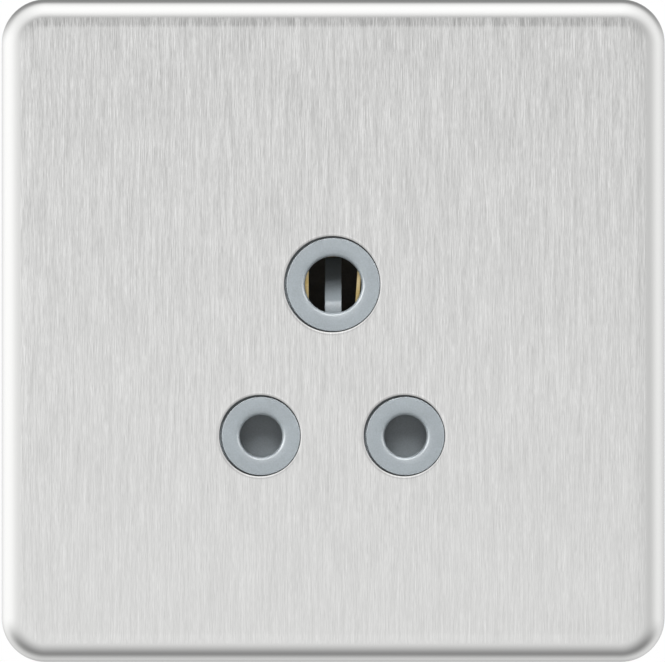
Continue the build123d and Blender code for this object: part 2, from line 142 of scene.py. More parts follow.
# %% [markdown]
# Brushed stainless steel. A belt of grit has cut fine scratches up and down the sheet, harder at the
# top than at the bottom. They smear reflections sideways, so the face looks soft and pale while the
# rounded edge still mirrors the studio: that is what the anisotropy does. Real scratches are too fine
# for a picture this size, so they are drawn 0.06 mm wide, about half a pixel, some short and some
# long, with crisp cuts among them and wider bands under them. Noise is soft and makes the scratches,
# and the flat cells of a Voronoi pattern make the cuts. All read the cover's own UV map, which is
# the sheet before it was pressed. The belt did not reach the rounded rim, and an attribute of the
# cover, made later, tells the material so.

# %% Brushed stainless steel: the marks
# A mark is its width and its length in mm. UV_MM is what one unit of the UV map spans.
UV_MM = 100.0
SHORT_SCRATCH, LONG_SCRATCH, BAND, CUT = (0.06, 1.3), (0.06, 4.5), (0.6, 12.0), (0.1, 3.0)
LONG_SHARE, CUT_SHARE, BAND_SHARE = 0.5, 0.15, 0.2

brushed_steel, tree = new_material("brushed_stainless_steel")
sheet_uv = add(tree, "ShaderNodeUVMap", {"uv_map": "sheet"})
places = []
for width, length in (SHORT_SCRATCH, LONG_SCRATCH, BAND, CUT):
    stretch = (UV_MM / width, UV_MM / length, 1)
    places.append(add(tree, "ShaderNodeMapping", {"Scale": stretch}, {"Vector": sheet_uv}))
soft = {"Scale": 1.0, "Detail": 2.0}
short, long, bands = [add(tree, "ShaderNodeTexNoise", soft, {"Vector": place}) for place in places[:3]]
crisp = {"Scale": 1.0, "voronoi_dimensions": "2D"}
cuts = add(tree, "ShaderNodeTexVoronoi", crisp, {"Vector": places[3]}).outputs["Color"]
scratches = add(tree, "ShaderNodeMix", {"Factor": LONG_SHARE}, {2: short, 3: long})
scratched = add(tree, "ShaderNodeMix", {"Factor": CUT_SHARE}, {2: scratches, 3: cuts})
brushing = add(tree, "ShaderNodeMix", {"Factor": BAND_SHARE}, {2: scratched, 3: bands})
print("marks in mm:", SHORT_SCRATCH, LONG_SCRATCH, CUT, "over bands of", BAND)

# %% Brushed stainless steel: their depth, and the finish
# The marks are deeper higher up the sheet, and the attribute says where there are none.
BITE_LOW, BITE_HIGH = 0.38, 1.12
STEEL_TONES = ((0.37, colour("#C4C4C3")), (0.5, colour("#DEDEDD")), (0.63, colour("#F8F8F7")))
STEEL_ROUGHNESS = {"To Min": 0.18, "To Max": 0.24}
GRAIN_SPAN = {"From Min": 0.3, "From Max": 0.7}

height = add(tree, "ShaderNodeSeparateXYZ", {}, {"Vector": sheet_uv}).outputs["Y"]
bite = add(tree, "ShaderNodeMapRange", {"To Min": BITE_LOW, "To Max": BITE_HIGH}, {"Value": height})
reached = add(tree, "ShaderNodeAttribute", {"attribute_name": "brushed"}).outputs["Fac"]
contrast = add(tree, "ShaderNodeMath", {"operation": "MULTIPLY"}, {0: bite, 1: reached})
relief = add(tree, "ShaderNodeMath", {"operation": "SUBTRACT", 1: 0.5}, {0: brushing})
grain = add(tree, "ShaderNodeMath", {"operation": "MULTIPLY_ADD", 2: 0.5}, {0: relief, 1: contrast})
tone = add(tree, "ShaderNodeValToRGB", {}, {"Fac": grain}, STEEL_TONES)
gloss = add(tree, "ShaderNodeMapRange", GRAIN_SPAN | STEEL_ROUGHNESS, {"Value": grain})
groove = add(tree, "ShaderNodeBump", {"Strength": 0.12, "Distance": 0.02 * MM}, {"Height": grain})
across = add(tree, "ShaderNodeTangent", {"direction_type": "UV_MAP", "uv_map": "sheet"})
inputs = {"Base Color": tone, "Roughness": gloss, "Normal": groove, "Tangent": across}
steel = add(tree, "ShaderNodeBsdfPrincipled", {"Metallic": 1.0, "Anisotropic": 0.75}, inputs)
add(tree, "ShaderNodeOutputMaterial", {}, {"Surface": steel})
print("steel:", brushed_steel.name, "with", len(tree.nodes), "nodes")

# %% [markdown]
# The two plastics. The collars and the shutter are grey polycarbonate from a spark-eroded mould,
# which leaves a faint grain and a satin look. The frame and the rear body are black thermoset, a
# little coarser. Both are the same idea with other colours and grain, so one function makes them:
# cloudy tone over a few millimetres, and a fine grain that also drives the relief and the gloss.

# %% Moulded plastics
def moulded_plastic(name, dark, light, grain_mm, cloud_mm, roughness, relief):
    """A moulded plastic: two close tones in clouds, and a fine mould grain."""
    material, tree = new_material(name)
    place = add(tree, "ShaderNodeTexCoord").outputs["Object"]
    fine = {"Scale": 1 / (grain_mm * MM), "Detail": 2.0}
    grain = add(tree, "ShaderNodeTexNoise", fine, {"Vector": place})
    broad = {"Scale": 1 / (cloud_mm * MM), "Detail": 3.0}
    clouds = add(tree, "ShaderNodeTexNoise", broad, {"Vector": place})
    both = add(tree, "ShaderNodeMix", {"Factor": 0.35}, {2: grain, 3: clouds})
    tones = ((0.35, colour(dark)), (0.65, colour(light)))
    tone = add(tree, "ShaderNodeValToRGB", {}, {"Fac": both}, tones)
    span = GRAIN_SPAN | {"To Min": roughness - 0.05, "To Max": roughness + 0.05}
    gloss = add(tree, "ShaderNodeMapRange", span, {"Value": grain})
    skin = add(tree, "ShaderNodeBump", {"Strength": relief, "Distance": 0.03 * MM}, {"Height": grain})
    inputs = {"Base Color": tone, "Roughness": gloss, "Normal": skin}
    plastic = add(tree, "ShaderNodeBsdfPrincipled", {"IOR": 1.58}, inputs)
    add(tree, "ShaderNodeOutputMaterial", {}, {"Surface": plastic})
    return material


grey_plastic = moulded_plastic("satin_grey_polycarbonate", "#6B7175", "#767D81",
                               grain_mm=0.2, cloud_mm=4.0, roughness=0.4, relief=0.06)
black_plastic = moulded_plastic("black_thermoset", "#2C2C2B", "#454544",
                                grain_mm=0.35, cloud_mm=6.0, roughness=0.45, relief=0.25)
print("plastics:", grey_plastic.name, black_plastic.name)

# %% [markdown]
# The other metals. Rolled brass strip and turned brass share a warm tone with drawn lines and a
# few darker clouds where it has begun to tarnish. Spring wire is darker drawn steel. The body
# screws are zinc plated, which gives a bluish crystal mottle. Again one function makes all three:
# clouds for the tone, and lines stretched along one axis for the way the metal was worked.
# Such lines are 20 times as long as they are wide.

# %% Other metals
LINE_LENGTH = 20


def worked_metal(name, dark, light, cloud_mm, line_mm, roughness, relief):
    """A plain metal: tone in clouds, and fine lines from rolling or turning."""
    material, tree = new_material(name)
    place = add(tree, "ShaderNodeTexCoord").outputs["Object"]
    broad = {"Scale": 1 / (cloud_mm * MM), "Detail": 4.0}
    clouds = add(tree, "ShaderNodeTexNoise", broad, {"Vector": place})
    across, along = 1 / (line_mm * MM), 1 / (LINE_LENGTH * line_mm * MM)
    stretch = (across, along, across)
    drawn = add(tree, "ShaderNodeMapping", {"Scale": stretch}, {"Vector": place})
    lines = add(tree, "ShaderNodeTexNoise", {"Scale": 1.0, "Detail": 2.0}, {"Vector": drawn})
    tones = ((0.3, colour(dark)), (0.7, colour(light)))
    tone = add(tree, "ShaderNodeValToRGB", {}, {"Fac": clouds}, tones)
    span = GRAIN_SPAN | {"To Min": roughness - 0.06, "To Max": roughness + 0.06}
    gloss = add(tree, "ShaderNodeMapRange", span, {"Value": lines})
    skin = add(tree, "ShaderNodeBump", {"Strength": relief, "Distance": 0.02 * MM}, {"Height": lines})
    inputs = {"Base Color": tone, "Roughness": gloss, "Normal": skin}
    metal = add(tree, "ShaderNodeBsdfPrincipled", {"Metallic": 1.0}, inputs)
    add(tree, "ShaderNodeOutputMaterial", {}, {"Surface": metal})
    return material


brass = worked_metal("rolled_brass", "#D0B678", "#EEDCAE",
                     cloud_mm=3.0, line_mm=0.12, roughness=0.32, relief=0.2)
spring_steel = worked_metal("drawn_spring_steel", "#77787A", "#A5A6A8",
                            cloud_mm=2.0, line_mm=0.1, roughness=0.3, relief=0.15)
zinc_steel = worked_metal("zinc_plated_steel", "#A9B0B8", "#D3D8DC",
                          cloud_mm=0.8, line_mm=0.15, roughness=0.34, relief=0.2)
print("metals:", brass.name, spring_steel.name, zinc_steel.name)

# %% [markdown]
# Pressed and moulded pieces are flat faces with outlines that are pulled in or out of the wall.
# So they can be made from rings of points: a skin joins two rings, and a flat face fills
# what lies between an outline and its holes. All rings of one skin have the same number of points.

# %% Rings of points
def circle(x, up, radius, count=96):
    """Points round a circle, as places to the right and up."""
    turns = [2 * math.pi * i / count for i in range(count)]
    return [(x + radius * math.cos(a), up + radius * math.sin(a)) for a in turns]


def rounded(width, height, corner, centre=(0.0, 0.0), top=(), bottom=(), steps=16):
    """Points round a rectangle with round corners, with added points on its top and bottom sides."""
    points = []
    for quarter, (side, level) in enumerate(((1, 1), (-1, 1), (-1, -1), (1, -1))):
        for i in range(steps + 1):
            a = (quarter + i / steps) * math.pi / 2
            x = side * (width / 2 - corner) + corner * math.cos(a)
            up = level * (height / 2 - corner) + corner * math.sin(a)
            points.append((centre[0] + x, centre[1] + up))
        if quarter == 0:
            points += list(top)
        if quarter == 2:
            points += [(x, centre[1] - height / 2) for x in bottom]
    return points


def bend(radius, start, end, steps):
    """Points round a bend from one tilt to another, in degrees: how far across and how deep."""
    tilts = [math.radians(start + (end - start) * i / steps) for i in range(steps + 1)]
    side, top = math.sin(tilts[0]), math.cos(tilts[0])
    return [(radius * (math.sin(tilt) - side), radius * (top - math.cos(tilt))) for tilt in tilts]


def chain(*paths):
    """Joins paths end to end."""
    whole = [(0.0, 0.0)]
    for path in paths:
        across, depth = whole[-1]
        whole += [(across + x, depth + y) for x, y in path if (x, y) != (0.0, 0.0)]
    return whole


print("points of a hole:", len(circle(0, 0, 1)), "and of an outline:", len(rounded(9, 9, 1)))

# %% Skins and flat faces
def ring(shape, points, out):
    """Adds a closed ring of corners at one depth, or at a depth for each point."""
    depths = out if isinstance(out, list) else [out] * len(points)
    return [shape.verts.new(at(x, up, depth)) for (x, up), depth in zip(points, depths)]


def skin(shape, *rings):
    """Joins each ring to the next with a strip of faces."""
    for first, second in zip(rings, rings[1:]):
        for i in range(len(first)):
            shape.faces.new((first[i - 1], first[i], second[i], second[i - 1]))


def flat_face(shape, *rings):
    """Fills the flat area inside the first ring and outside the others."""
    edges = []
    for loop in rings:
        for i in range(len(loop)):
            pair = (loop[i - 1], loop[i])
            edges.append(shape.edges.get(pair) or shape.edges.new(pair))
    bmesh.ops.triangle_fill(shape, use_beauty=True, use_dissolve=False, edges=edges)


SHARP_ANGLE = math.radians(35)


def as_piece(shape, name, material):
    """Turns a shape into a piece of the scene: faces outward, smooth but for its sharp edges."""
    bmesh.ops.recalc_face_normals(shape, faces=shape.faces)
    mesh = bpy.data.meshes.new(name)
    shape.to_mesh(mesh)
    shape.free()
    mesh.materials.append(material)
    mesh.shade_smooth()
    mesh.set_sharp_from_angle(angle=SHARP_ANGLE)
    piece = bpy.data.objects.new(name, mesh)
    bpy.context.scene.collection.objects.link(piece)
    return piece


def applied(piece):
    """Bakes a piece's modifiers into its mesh and removes them."""
    view = bpy.context.evaluated_depsgraph_get()
    mesh = bpy.data.meshes.new_from_object(piece.evaluated_get(view))
    piece.modifiers.clear()
    piece.data = mesh
    return piece


def weigh_normals(piece):
    """Lets the large flat faces set the shading, so that a rounded edge starts without a step."""
    piece.modifiers.new("weigh", "WEIGHTED_NORMAL").keep_sharp = True
    return applied(piece)


def put(piece, body, node):
    """Hands over a finished piece: the body it moves with and the solid it stands for, which it hides."""
    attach(piece, body)
    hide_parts(node)
    triangles = sum(len(polygon.vertices) - 2 for polygon in piece.data.polygons)
    print(f"{piece.name}: {triangles} triangles for {node}")


# %% [markdown]
# The cover is one sheet of metal, 1 mm thick. A press has turned its rim back to the wall with a
# radius of 2.95 mm. The last millimetre of the flat leans back by a few degrees, as pressed sheet
# does beside a bend, which is why a thin shaded line runs along the bright rim. The rings
# follow that profile from the flat to the skirt, and the UV map is the same outline laid flat again.

# %% Cover: the pressed profile
SHEET = 1.0
EDGE_R = 2.95
LEAN, LEAN_R, LEAN_RUN = 3.5, 8.0, 0.7


def pressed_profile(edge_r):
    """Steps from the flat to the skirt: inset from the rim, depth behind the front, length of sheet."""
    lean = (LEAN_RUN * math.cos(math.radians(LEAN)), LEAN_RUN * math.sin(math.radians(LEAN)))
    path = chain(bend(LEAN_R, 0, LEAN, 3), [lean], bend(edge_r, LEAN, 90, 14))
    lengths = [0.0]
    for first, second in zip(path, path[1:]):
        lengths.append(lengths[-1] + math.dist(first, second))
    reach = path[-1][0]
    return [(reach - across, depth, length) for (across, depth), length in zip(path, lengths)]


profile = pressed_profile(EDGE_R)
flat_inset, _, _ = profile[0]
_, rim_drop, rim_length = profile[-1]
print(f"the flat ends {flat_inset:.2f} mm from the rim, which drops {rim_drop:.2f} mm")

# %% Cover: the sheet
(plate_left, plate_right), _, (SKIRT, FRONT) = limits("cover_plate")
PLATE = plate_right - plate_left
PLATE_CORNER = 5.9
PRY_HALF, PRY_TOP, PRY_WALL = 4.5, SKIRT + 1.0, 0.01
pry_x = (-PRY_HALF, PRY_WALL - PRY_HALF, PRY_HALF - PRY_WALL, PRY_HALF)
cover = bmesh.new()
brushed = cover.verts.layers.float.new("brushed")
flat_places = {}


def outline(inset):
    """The cover's outline, moved in from its rim."""
    side = PLATE - 2 * inset
    return rounded(side, side, PLATE_CORNER - inset, bottom=pry_x)


def sheet_ring(points, out, flat):
    """A ring of the sheet that remembers where it lay before pressing."""
    corners = ring(cover, points, out)
    flat_places.update(zip(corners, flat))
    return corners


def skirt_ring(inset):
    """The skirt's lower edge, raised over the slot where a screwdriver lifts the cover off."""
    points = outline(inset)
    in_slot = [abs(x) < PRY_HALF - PRY_WALL / 2 and up < 0 for x, up in points]
    depths = [PRY_TOP if slot else SKIRT for slot in in_slot]
    return sheet_ring(points, depths, outline(flat_inset - rim_length - (FRONT - rim_drop - SKIRT)))


sheet = []
for inset, drop, run in profile:
    sheet.append(sheet_ring(outline(inset), FRONT - drop, outline(flat_inset - run)))
sheet += [skirt_ring(0), skirt_ring(SHEET)]
for inset, drop, run in reversed(pressed_profile(EDGE_R - SHEET)):
    sheet.append(sheet_ring(outline(SHEET + inset), FRONT - SHEET - drop, outline(flat_inset - run)))
skin(cover, *sheet)
print("rings of the sheet:", len(sheet))

# %% [markdown]
# The cover's three holes let the collars through with a little play. They sit a hair to the left of
# the collars and above them, so the dark gap is wider there. The punch has dished the sheet round each
# hole and rolled its edge over before it broke through: a faint shade, then a thin bright line.

# %% Cover: the holes
COLLAR_GAP = 0.22
COVER_SHIFT = (-0.14, 0.06)
DISH_R, DISH_TILT = 2.6, 5
ROLL_R, ROLL_START, ROLL_END = 1.3, 15, 26
hole_edge = chain(bend(DISH_R, 0, DISH_TILT, 3), bend(ROLL_R, ROLL_START, ROLL_END, 4))
hole_edge_width = hole_edge[-1][0]
front_loops = [sheet[0]]
back_loops = [sheet[-1]]
for x, up, _, collar_r in PIN_HOLES:
    middle = (x + COVER_SHIFT[0], up + COVER_SHIFT[1])
    hole_r = collar_r + COLLAR_GAP
    walls = []
    for across, depth in hole_edge:
        points = circle(*middle, hole_r + hole_edge_width - across)
        walls.append(sheet_ring(points, FRONT - depth, points))
    points = circle(*middle, hole_r)
    walls.append(sheet_ring(points, FRONT - SHEET, circle(*middle, hole_r - SHEET)))
    skin(cover, *walls)
    front_loops.append(walls[0])
    back_loops.append(walls[-1])
flat_face(cover, *front_loops)
flat_face(cover, *back_loops)
print("holes:", len(front_loops) - 1, "faces so far:", len(cover.faces))

# %% [markdown]
# Small tongues bent in from the skirt's top and bottom sides snap behind the frame. They are
# short blocks with their inner edge eased, sunk a little into the skirt so that sheet and tongue
# read as one piece.

# %% Cover: the snap tongues
CLIP_X, CLIP_HALF, CLIP_DEPTH, CLIP_THICK = 22.0, 3.5, 0.5, 0.5
inside = PLATE / 2 - SHEET
clip_top, clip_middle = SKIRT + CLIP_THICK, SKIRT + CLIP_THICK / 2
for level in (1, -1):
    root = level * (inside + SHEET / 4)
    tip = level * (inside - CLIP_DEPTH)
    eased = level * (inside - CLIP_DEPTH + CLIP_THICK / 3)
    section = [(root, SKIRT), (tip, SKIRT), (tip, clip_middle), (eased, clip_top), (root, clip_top)]
    for middle in (-CLIP_X, CLIP_X):
        ends = []
        for x in (middle - CLIP_HALF, middle + CLIP_HALF):
            corners = [cover.verts.new(at(x, up, out)) for up, out in section]
            flat_places.update((corner, (x, up)) for corner, (up, _) in zip(corners, section))
            cover.faces.new(corners)
            ends.append(corners)
        skin(cover, *ends)
print("with tongues:", len(cover.faces), "faces")

# %% [markdown]
# Now the sheet is complete. Each corner gets a number that says how hard the belt has cut there.
# The rim was below the belt's reach, so it stays smooth and mirrors the studio. The belt landed on
# the band that leans back along the top, and its first cuts are the deepest. The UV map puts
# each corner back where it lay before pressing.

# %% Cover: the brushing and the UV map
BRUSH_REACH, FLAT_DEPTH, LANDING_BITE = 0.08, 0.002, 1.8
for corner in cover.verts:
    depth = FRONT + corner.co.y / MM
    along_top = corner.co.z / MM > PLATE / 2 - flat_inset
    if depth > BRUSH_REACH:
        corner[brushed] = 0.0
    elif depth > FLAT_DEPTH and along_top:
        corner[brushed] = LANDING_BITE
    else:
        corner[brushed] = 1.0
sheet_map = cover.loops.layers.uv.new("sheet")
for face in cover.faces:
    for loop in face.loops:
        x, up = flat_places[loop.vert]
        loop[sheet_map].uv = (0.5 + x / UV_MM, 0.5 + up / UV_MM)
cover_sheet = weigh_normals(as_piece(cover, "cover_sheet", brushed_steel))
put(cover_sheet, "housing", "cover_plate")

# %% [markdown]
# The front moulding is a slab behind the cover. Its three collars stand up through the cover's
# holes, and each pin hole has a rounded lip that leads the pin in: the face sinks gently at first
# and then turns into the hole. Behind the slab are the bosses for the body screws, the posts that
# hold the terminals down and the tubes that guide the two small pins. Every one of them is a ring
# of the slab's front or back face, pulled out or in.

# %% Front moulding: the slab and its collars
slab_x, slab_up, (POST_END, COLLAR_FACE) = limits("socket_front")
SLAB_MIDDLE = (sum(slab_x) / 2, sum(slab_up) / 2)
SLAB_BACK, SLAB_FRONT, SLAB_CORNER = 2.0, 3.4, 1.3
COLLAR_EDGE_R = 0.07
LEAD_R, LEAD_TILT, LIP_R = 2.7, 15, 0.6
collar_edge = bend(COLLAR_EDGE_R, 0, 90, 4)
lip = chain(bend(LEAD_R, 0, LEAD_TILT, 8), bend(LIP_R, LEAD_TILT, 90, 12))
lip_width = lip[-1][0]
GUIDE_END, GUIDE_WALL = -0.65, 1.0
NOTCH_HALF, NOTCH_LOW = 2.9, 17.7
notch_sides = [(NOTCH_HALF, slab_up[1]), (NOTCH_HALF, NOTCH_LOW)]
notch = notch_sides + [(-x, up) for x, up in reversed(notch_sides)]
moulding = bmesh.new()
slab_size = (slab_x[1] - slab_x[0], slab_up[1] - slab_up[0])
slab_outline = rounded(*slab_size, SLAB_CORNER, SLAB_MIDDLE, top=notch, steps=6)
front_loops = [ring(moulding, slab_outline, SLAB_FRONT)]
back_loops = [ring(moulding, slab_outline, SLAB_BACK)]
skin(moulding, front_loops[0], back_loops[0])
for x, up, hole_r, collar_r in PIN_HOLES:
    steps = [(collar_r, SLAB_FRONT)]
    rim_r = collar_r - collar_edge[-1][0]
    steps += [(rim_r + across, COLLAR_FACE - depth) for across, depth in reversed(collar_edge)]
    steps += [(hole_r + lip_width - across, COLLAR_FACE - depth) for across, depth in lip]
    if collar_r == EARTH_COLLAR:
        steps.append((hole_r, SLAB_BACK))
    else:
        guide_r = hole_r + GUIDE_WALL
        steps += [(hole_r, GUIDE_END), (guide_r, GUIDE_END), (guide_r, SLAB_BACK)]
    rings = [ring(moulding, circle(x, up, radius), out) for radius, out in steps]
    skin(moulding, *rings)
    front_loops.append(rings[0])
    back_loops.append(rings[-1])
flat_face(moulding, *front_loops)
print("collars:", len(front_loops) - 1, "faces so far:", len(moulding.faces))

# %% Front moulding: bosses and posts
screw_x, screw_up, (screw_back, screw_front) = limits("body_screws")
HEAD_R, HEAD_HEIGHT = 2.6, 2.0
SCREW_PLACES = [(x, up) for x in (screw_x[0] + HEAD_R, screw_x[1] - HEAD_R)
                for up in (screw_up[0] + HEAD_R, screw_up[1] - HEAD_R)]
BOSS_R, BOSS_END, PILOT_R, EASE = 3.0, -4.8, 1.25, 0.3
boss = [(BOSS_R, SLAB_BACK), (BOSS_R, BOSS_END + EASE), (BOSS_R - EASE, BOSS_END)]
pilot = [(PILOT_R, BOSS_END), (PILOT_R, SLAB_BACK)]
for x, up in SCREW_PLACES:
    rings = [ring(moulding, circle(x, up, radius, count=48), out) for radius, out in boss + pilot]
    skin(moulding, *rings)
    flat_face(moulding, rings[-1])
    back_loops.append(rings[0])

# A post is its place to the right and up, its width, its height and where it ends.
POST_CORNER, POST_PLAY = 0.5, 0.2
live_x, _, (_, live_front) = limits("live_terminal")
line_post = (sum(live_x) / 2, LIVE[1], 3.0, 6.0, live_front + POST_PLAY)
other_post = (-line_post[0], *line_post[1:])
earth_post = (0.0, 14.0, 6.0, 2.4, POST_END)
for x, up, width, height, end in (line_post, other_post, earth_post):
    rings = []
    for inset, out in ((0.0, SLAB_BACK), (0.0, end + EASE), (EASE, end)):
        points = rounded(width - 2 * inset, height - 2 * inset, POST_CORNER - inset, (x, up), steps=3)
        rings.append(ring(moulding, points, out))
    skin(moulding, *rings)
    flat_face(moulding, rings[-1])
    back_loops.append(rings[0])
flat_face(moulding, *back_loops)
front_moulding = weigh_normals(as_piece(moulding, "front_moulding", grey_plastic))
put(front_moulding, "housing", "socket_front")

# %% [markdown]
# The other solids already have the right form, but their edges are knife sharp, and no moulding or
# blanked strip has such edges. A copy of each is welded, its flat facets are merged, and a narrow
# bevel rounds its edges, so that they catch a line of light.

# %% Soft-edged copies of the solids
WELD_MM = 0.002
FLAT_ANGLE, EDGE_ANGLE = math.radians(1), math.radians(38)


def softened(node, name, material, edge_mm):
    """A copy of a solid with its facets merged and its sharp edges rounded."""
    shape = bmesh.new()
    shape.from_mesh(frame["nodes"][node].data)
    bmesh.ops.remove_doubles(shape, verts=shape.verts, dist=WELD_MM * MM)
    bmesh.ops.dissolve_limit(shape, angle_limit=FLAT_ANGLE, verts=shape.verts, edges=shape.edges)
    piece = as_piece(shape, name, material)
    bevel = piece.modifiers.new("ease", "BEVEL")
    bevel.width = edge_mm * MM
    bevel.segments = 2
    bevel.limit_method = "ANGLE"
    bevel.angle_limit = EDGE_ANGLE
    return weigh_normals(applied(piece))


SOFT_PIECES = (
    ("base_frame", "wall_frame", "housing", black_plastic, "black_plastic", 0.2),
    ("rear_body", "rear_housing", "housing", black_plastic, "black_plastic", 0.25),
    ("shutter", "shutter_slide_bar", "shutter", grey_plastic, "grey_plastic", 0.15),
    ("earth_contact", "earth_leaves", "housing", brass, "brass", 0.08),
    ("live_contact", "live_leaves", "housing", brass, "brass", 0.08),
    ("neutral_contact", "neutral_leaves", "housing", brass, "brass", 0.08),
    ("earth_terminal", "earth_clamp", "housing", brass, "brass", 0.15),
    ("live_terminal", "live_clamp", "housing", brass, "brass", 0.15),
    ("neutral_terminal", "neutral_clamp", "housing", brass, "brass", 0.15),
    ("earth_strap", "cover_strap", "housing", brass, "brass", 0.06),
)
for node, name, body, material, slot, edge_mm in SOFT_PIECES:
    put(softened(node, name, material, edge_mm), body, node)

# %% [markdown]
# Screws repeat, so Geometry Nodes make them. One tree builds a screw that points along Z: a round
# head with an eased rim, one slot or two crossed ones, a core, and a thread wound round it.
# It then sets that screw at each point of the mesh it is given, turned so that it drives forward.
# Lengths go in as metres and counts as whole numbers.

# %% The screw tree: its head
def new_tree(name, lengths, counts):
    """A Geometry Nodes tree with named inputs for its lengths, its counts and its material."""
    tree = bpy.data.node_groups.new(name, "GeometryNodeTree")
    kinds = [("Geometry", "NodeSocketGeometry")]
    kinds += [(length, "NodeSocketFloat") for length in lengths]
    kinds += [(count, "NodeSocketInt") for count in counts]
    kinds += [("Material", "NodeSocketMaterial")]
    for socket, kind in kinds:
        tree.interface.new_socket(socket, in_out="INPUT", socket_type=kind)
    tree.interface.new_socket("Geometry", in_out="OUTPUT", socket_type="NodeSocketGeometry")
    return tree, add(tree, "NodeGroupInput").outputs


# Shares of the head: how much of its side is straight, and how wide its top is.
HEAD_LENGTHS = ("Head Radius", "Head Height", "Slot Length", "Slot Width")
SHANK_LENGTHS = ("Shank Radius", "Shank Length", "Pitch")
STRAIGHT_SIDE, TOP_SCALE = 0.8, 0.87
screw_tree, size = new_tree("screw", HEAD_LENGTHS + SHANK_LENGTHS, ("Slots",))
straight = {"operation": "MULTIPLY", 1: STRAIGHT_SIDE}
lift = add(screw_tree, "ShaderNodeMath", straight, {0: size["Head Height"]})
half_lift = add(screw_tree, "ShaderNodeMath", {"operation": "MULTIPLY", 1: 0.5}, {0: lift})
rim = add(screw_tree, "ShaderNodeMath", {"operation": "SUBTRACT"}, {0: size["Head Height"], 1: lift})
drum_size = {"Radius": size["Head Radius"], "Depth": lift}
drum = add(screw_tree, "GeometryNodeMeshCylinder", {"Vertices": 48}, drum_size)
drum_up = add(screw_tree, "ShaderNodeCombineXYZ", {}, {"Z": half_lift})
drum_place = add(screw_tree, "GeometryNodeTransform", {}, {"Geometry": drum, "Translation": drum_up})
normal = add(screw_tree, "GeometryNodeInputNormal")
facing = add(screw_tree, "ShaderNodeSeparateXYZ", {}, {"Vector": normal}).outputs["Z"]
top_face = add(screw_tree, "FunctionNodeCompare", {"operation": "GREATER_THAN", 1: 0.9}, {0: facing})
rise = add(screw_tree, "ShaderNodeCombineXYZ", {}, {"Z": rim})
pull = {"Mesh": drum_place, "Selection": top_face, "Offset": rise}
raised = add(screw_tree, "GeometryNodeExtrudeMesh", {"mode": "FACES"}, pull)
top = {"Geometry": raised, "Selection": raised.outputs["Top"]}
head = add(screw_tree, "GeometryNodeScaleElements", {"Scale": TOP_SCALE}, top)
print("head nodes:", len(screw_tree.nodes))

# %% The screw tree: its slots
slot_size = {"X": size["Slot Length"], "Y": size["Slot Width"], "Z": size["Head Height"]}
slot_box = add(screw_tree, "ShaderNodeCombineXYZ", {}, slot_size)
cutter = add(screw_tree, "GeometryNodeMeshCube", {}, {"Size": slot_box})
cut_up = add(screw_tree, "ShaderNodeCombineXYZ", {}, {"Z": size["Head Height"]})
first_cut = add(screw_tree, "GeometryNodeTransform", {}, {"Geometry": cutter, "Translation": cut_up})
crossing = add(screw_tree, "ShaderNodeMath", {"operation": "SUBTRACT", 1: 1.0}, {0: size["Slots"]})
quarter = {"operation": "MULTIPLY", 1: math.pi / 2}
quarter_turn = add(screw_tree, "ShaderNodeMath", quarter, {0: crossing})
turn_z = add(screw_tree, "ShaderNodeCombineXYZ", {}, {"Z": quarter_turn})
second_cut = add(screw_tree, "GeometryNodeTransform", {}, {"Geometry": first_cut, "Rotation": turn_z})
away = {"operation": "DIFFERENCE", "solver": "EXACT"}
slotted = add(screw_tree, "GeometryNodeMeshBoolean", away, {"Mesh 1": head, "Mesh 2": first_cut})
crossed = add(screw_tree, "GeometryNodeMeshBoolean", away, {"Mesh 1": slotted, "Mesh 2": second_cut})
print("with slots:", len(screw_tree.nodes))

# %% The screw tree: its thread, and one screw at each point
# The thread is a diamond wound round the core. Half of it and the core are shares of the shank's
# radius, and it starts a share of the pitch above the tip.
CREST_SHARE, CORE_SHARE, THREAD_START = 0.08, 0.84, 0.3
inner = {"operation": "MULTIPLY", 1: CORE_SHARE}
core_r = add(screw_tree, "ShaderNodeMath", inner, {0: size["Shank Radius"]})
core_size = {"Radius": core_r, "Depth": size["Shank Length"]}
core = add(screw_tree, "GeometryNodeMeshCylinder", {"Vertices": 32}, core_size)
below = {"operation": "MULTIPLY", 1: -0.5}
half_down = add(screw_tree, "ShaderNodeMath", below, {0: size["Shank Length"]})
core_down = add(screw_tree, "ShaderNodeCombineXYZ", {}, {"Z": half_down})
core_place = add(screw_tree, "GeometryNodeTransform", {}, {"Geometry": core, "Translation": core_down})

threaded = {0: size["Shank Length"], 1: size["Pitch"]}
run = add(screw_tree, "ShaderNodeMath", {"operation": "SUBTRACT"}, threaded)
turns = add(screw_tree, "ShaderNodeMath", {"operation": "DIVIDE"}, {0: run, 1: size["Pitch"]})
share = {"operation": "MULTIPLY", 1: CREST_SHARE}
crest_half = add(screw_tree, "ShaderNodeMath", share, {0: size["Shank Radius"]})
crest_line = {0: size["Shank Radius"], 1: crest_half}
crest_r = add(screw_tree, "ShaderNodeMath", {"operation": "SUBTRACT"}, crest_line)
helix = {"Rotations": turns, "Start Radius": crest_r, "End Radius": crest_r, "Height": run}
winding = add(screw_tree, "GeometryNodeCurveSpiral", {"Resolution": 32}, helix)
diamond = {"mode": "RADIUS", "Resolution": 4}
crest = add(screw_tree, "GeometryNodeCurvePrimitiveCircle", diamond, {"Radius": crest_half})
wound = {"Curve": winding, "Profile Curve": crest}
ridge = add(screw_tree, "GeometryNodeCurveToMesh", {"Fill Caps": True}, wound)
tip = add(screw_tree, "ShaderNodeMath", {"operation": "MULTIPLY", 1: -1.0}, {0: size["Shank Length"]})
start = {"operation": "MULTIPLY_ADD", 1: THREAD_START}
thread_start = add(screw_tree, "ShaderNodeMath", start, {0: size["Pitch"], 2: tip})
thread_down = add(screw_tree, "ShaderNodeCombineXYZ", {}, {"Z": thread_start})
thread = add(screw_tree, "GeometryNodeTransform", {}, {"Geometry": ridge, "Translation": thread_down})

